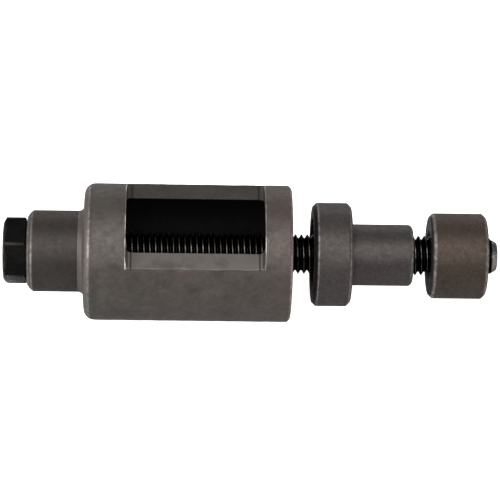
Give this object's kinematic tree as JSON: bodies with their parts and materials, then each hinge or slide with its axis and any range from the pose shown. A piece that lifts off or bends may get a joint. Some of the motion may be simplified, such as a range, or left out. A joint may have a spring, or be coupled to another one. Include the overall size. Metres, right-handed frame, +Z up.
{
  "type": "ball joint press",
  "caption": "Screw press for ball joints and bushes: a windowed receiving cup, a long hex-head forcing screw, a stepped pressing piece with a recessed flange, and a sleeve nut.",
  "frame": {"origin": "centre of the bounding box in plan, at its lowest level, where the cup lies on the surface", "axes": "+X along the common axis from the screw's head to its tip, +Z up, out of the cup's window"},
  "size_m": [0.1468, 0.0406, 0.0406],
  "materials": {
    "phosphated_steel": "dark grey phosphated steel, satin, finely speckled, lighter where edges are worn",
    "black_oxide_steel": "black oxide, oiled, near-black with small bright glints",
    "turned_dark_steel": "dark grey turned steel with fine turning marks",
    "browned_steel": "dark brown-grey turned steel, satin"
  },
  "bodies": {
    "cup": {"receiving_cup": "phosphated_steel"},
    "screw": {"forcing_screw": "black_oxide_steel"},
    "nut": {"sleeve_nut": "browned_steel"},
    "press": {"pressing_piece": "turned_dark_steel"}
  },
  "joints": [
    {"name": "screw_spin", "type": "hinge", "parent": "cup", "child": "screw", "pos_m": [0, 0, 0.02032], "axis": [1, 0, 0], "range_deg": [-540, 10090]},
    {"name": "nut_draw", "type": "slide", "parent": "cup", "child": "nut", "axis": [-1, 0, 0], "range_m": [-0.0026, 0.049]},
    {"name": "press_slide", "type": "slide", "parent": "nut", "child": "press", "axis": [-1, 0, 0], "range_m": [-0.0048, 0.012]}
  ],
  "couplings": [
    {"joint": "screw_spin", "follows": "nut_draw", "rad_per_m": 3590.4}
  ]
}
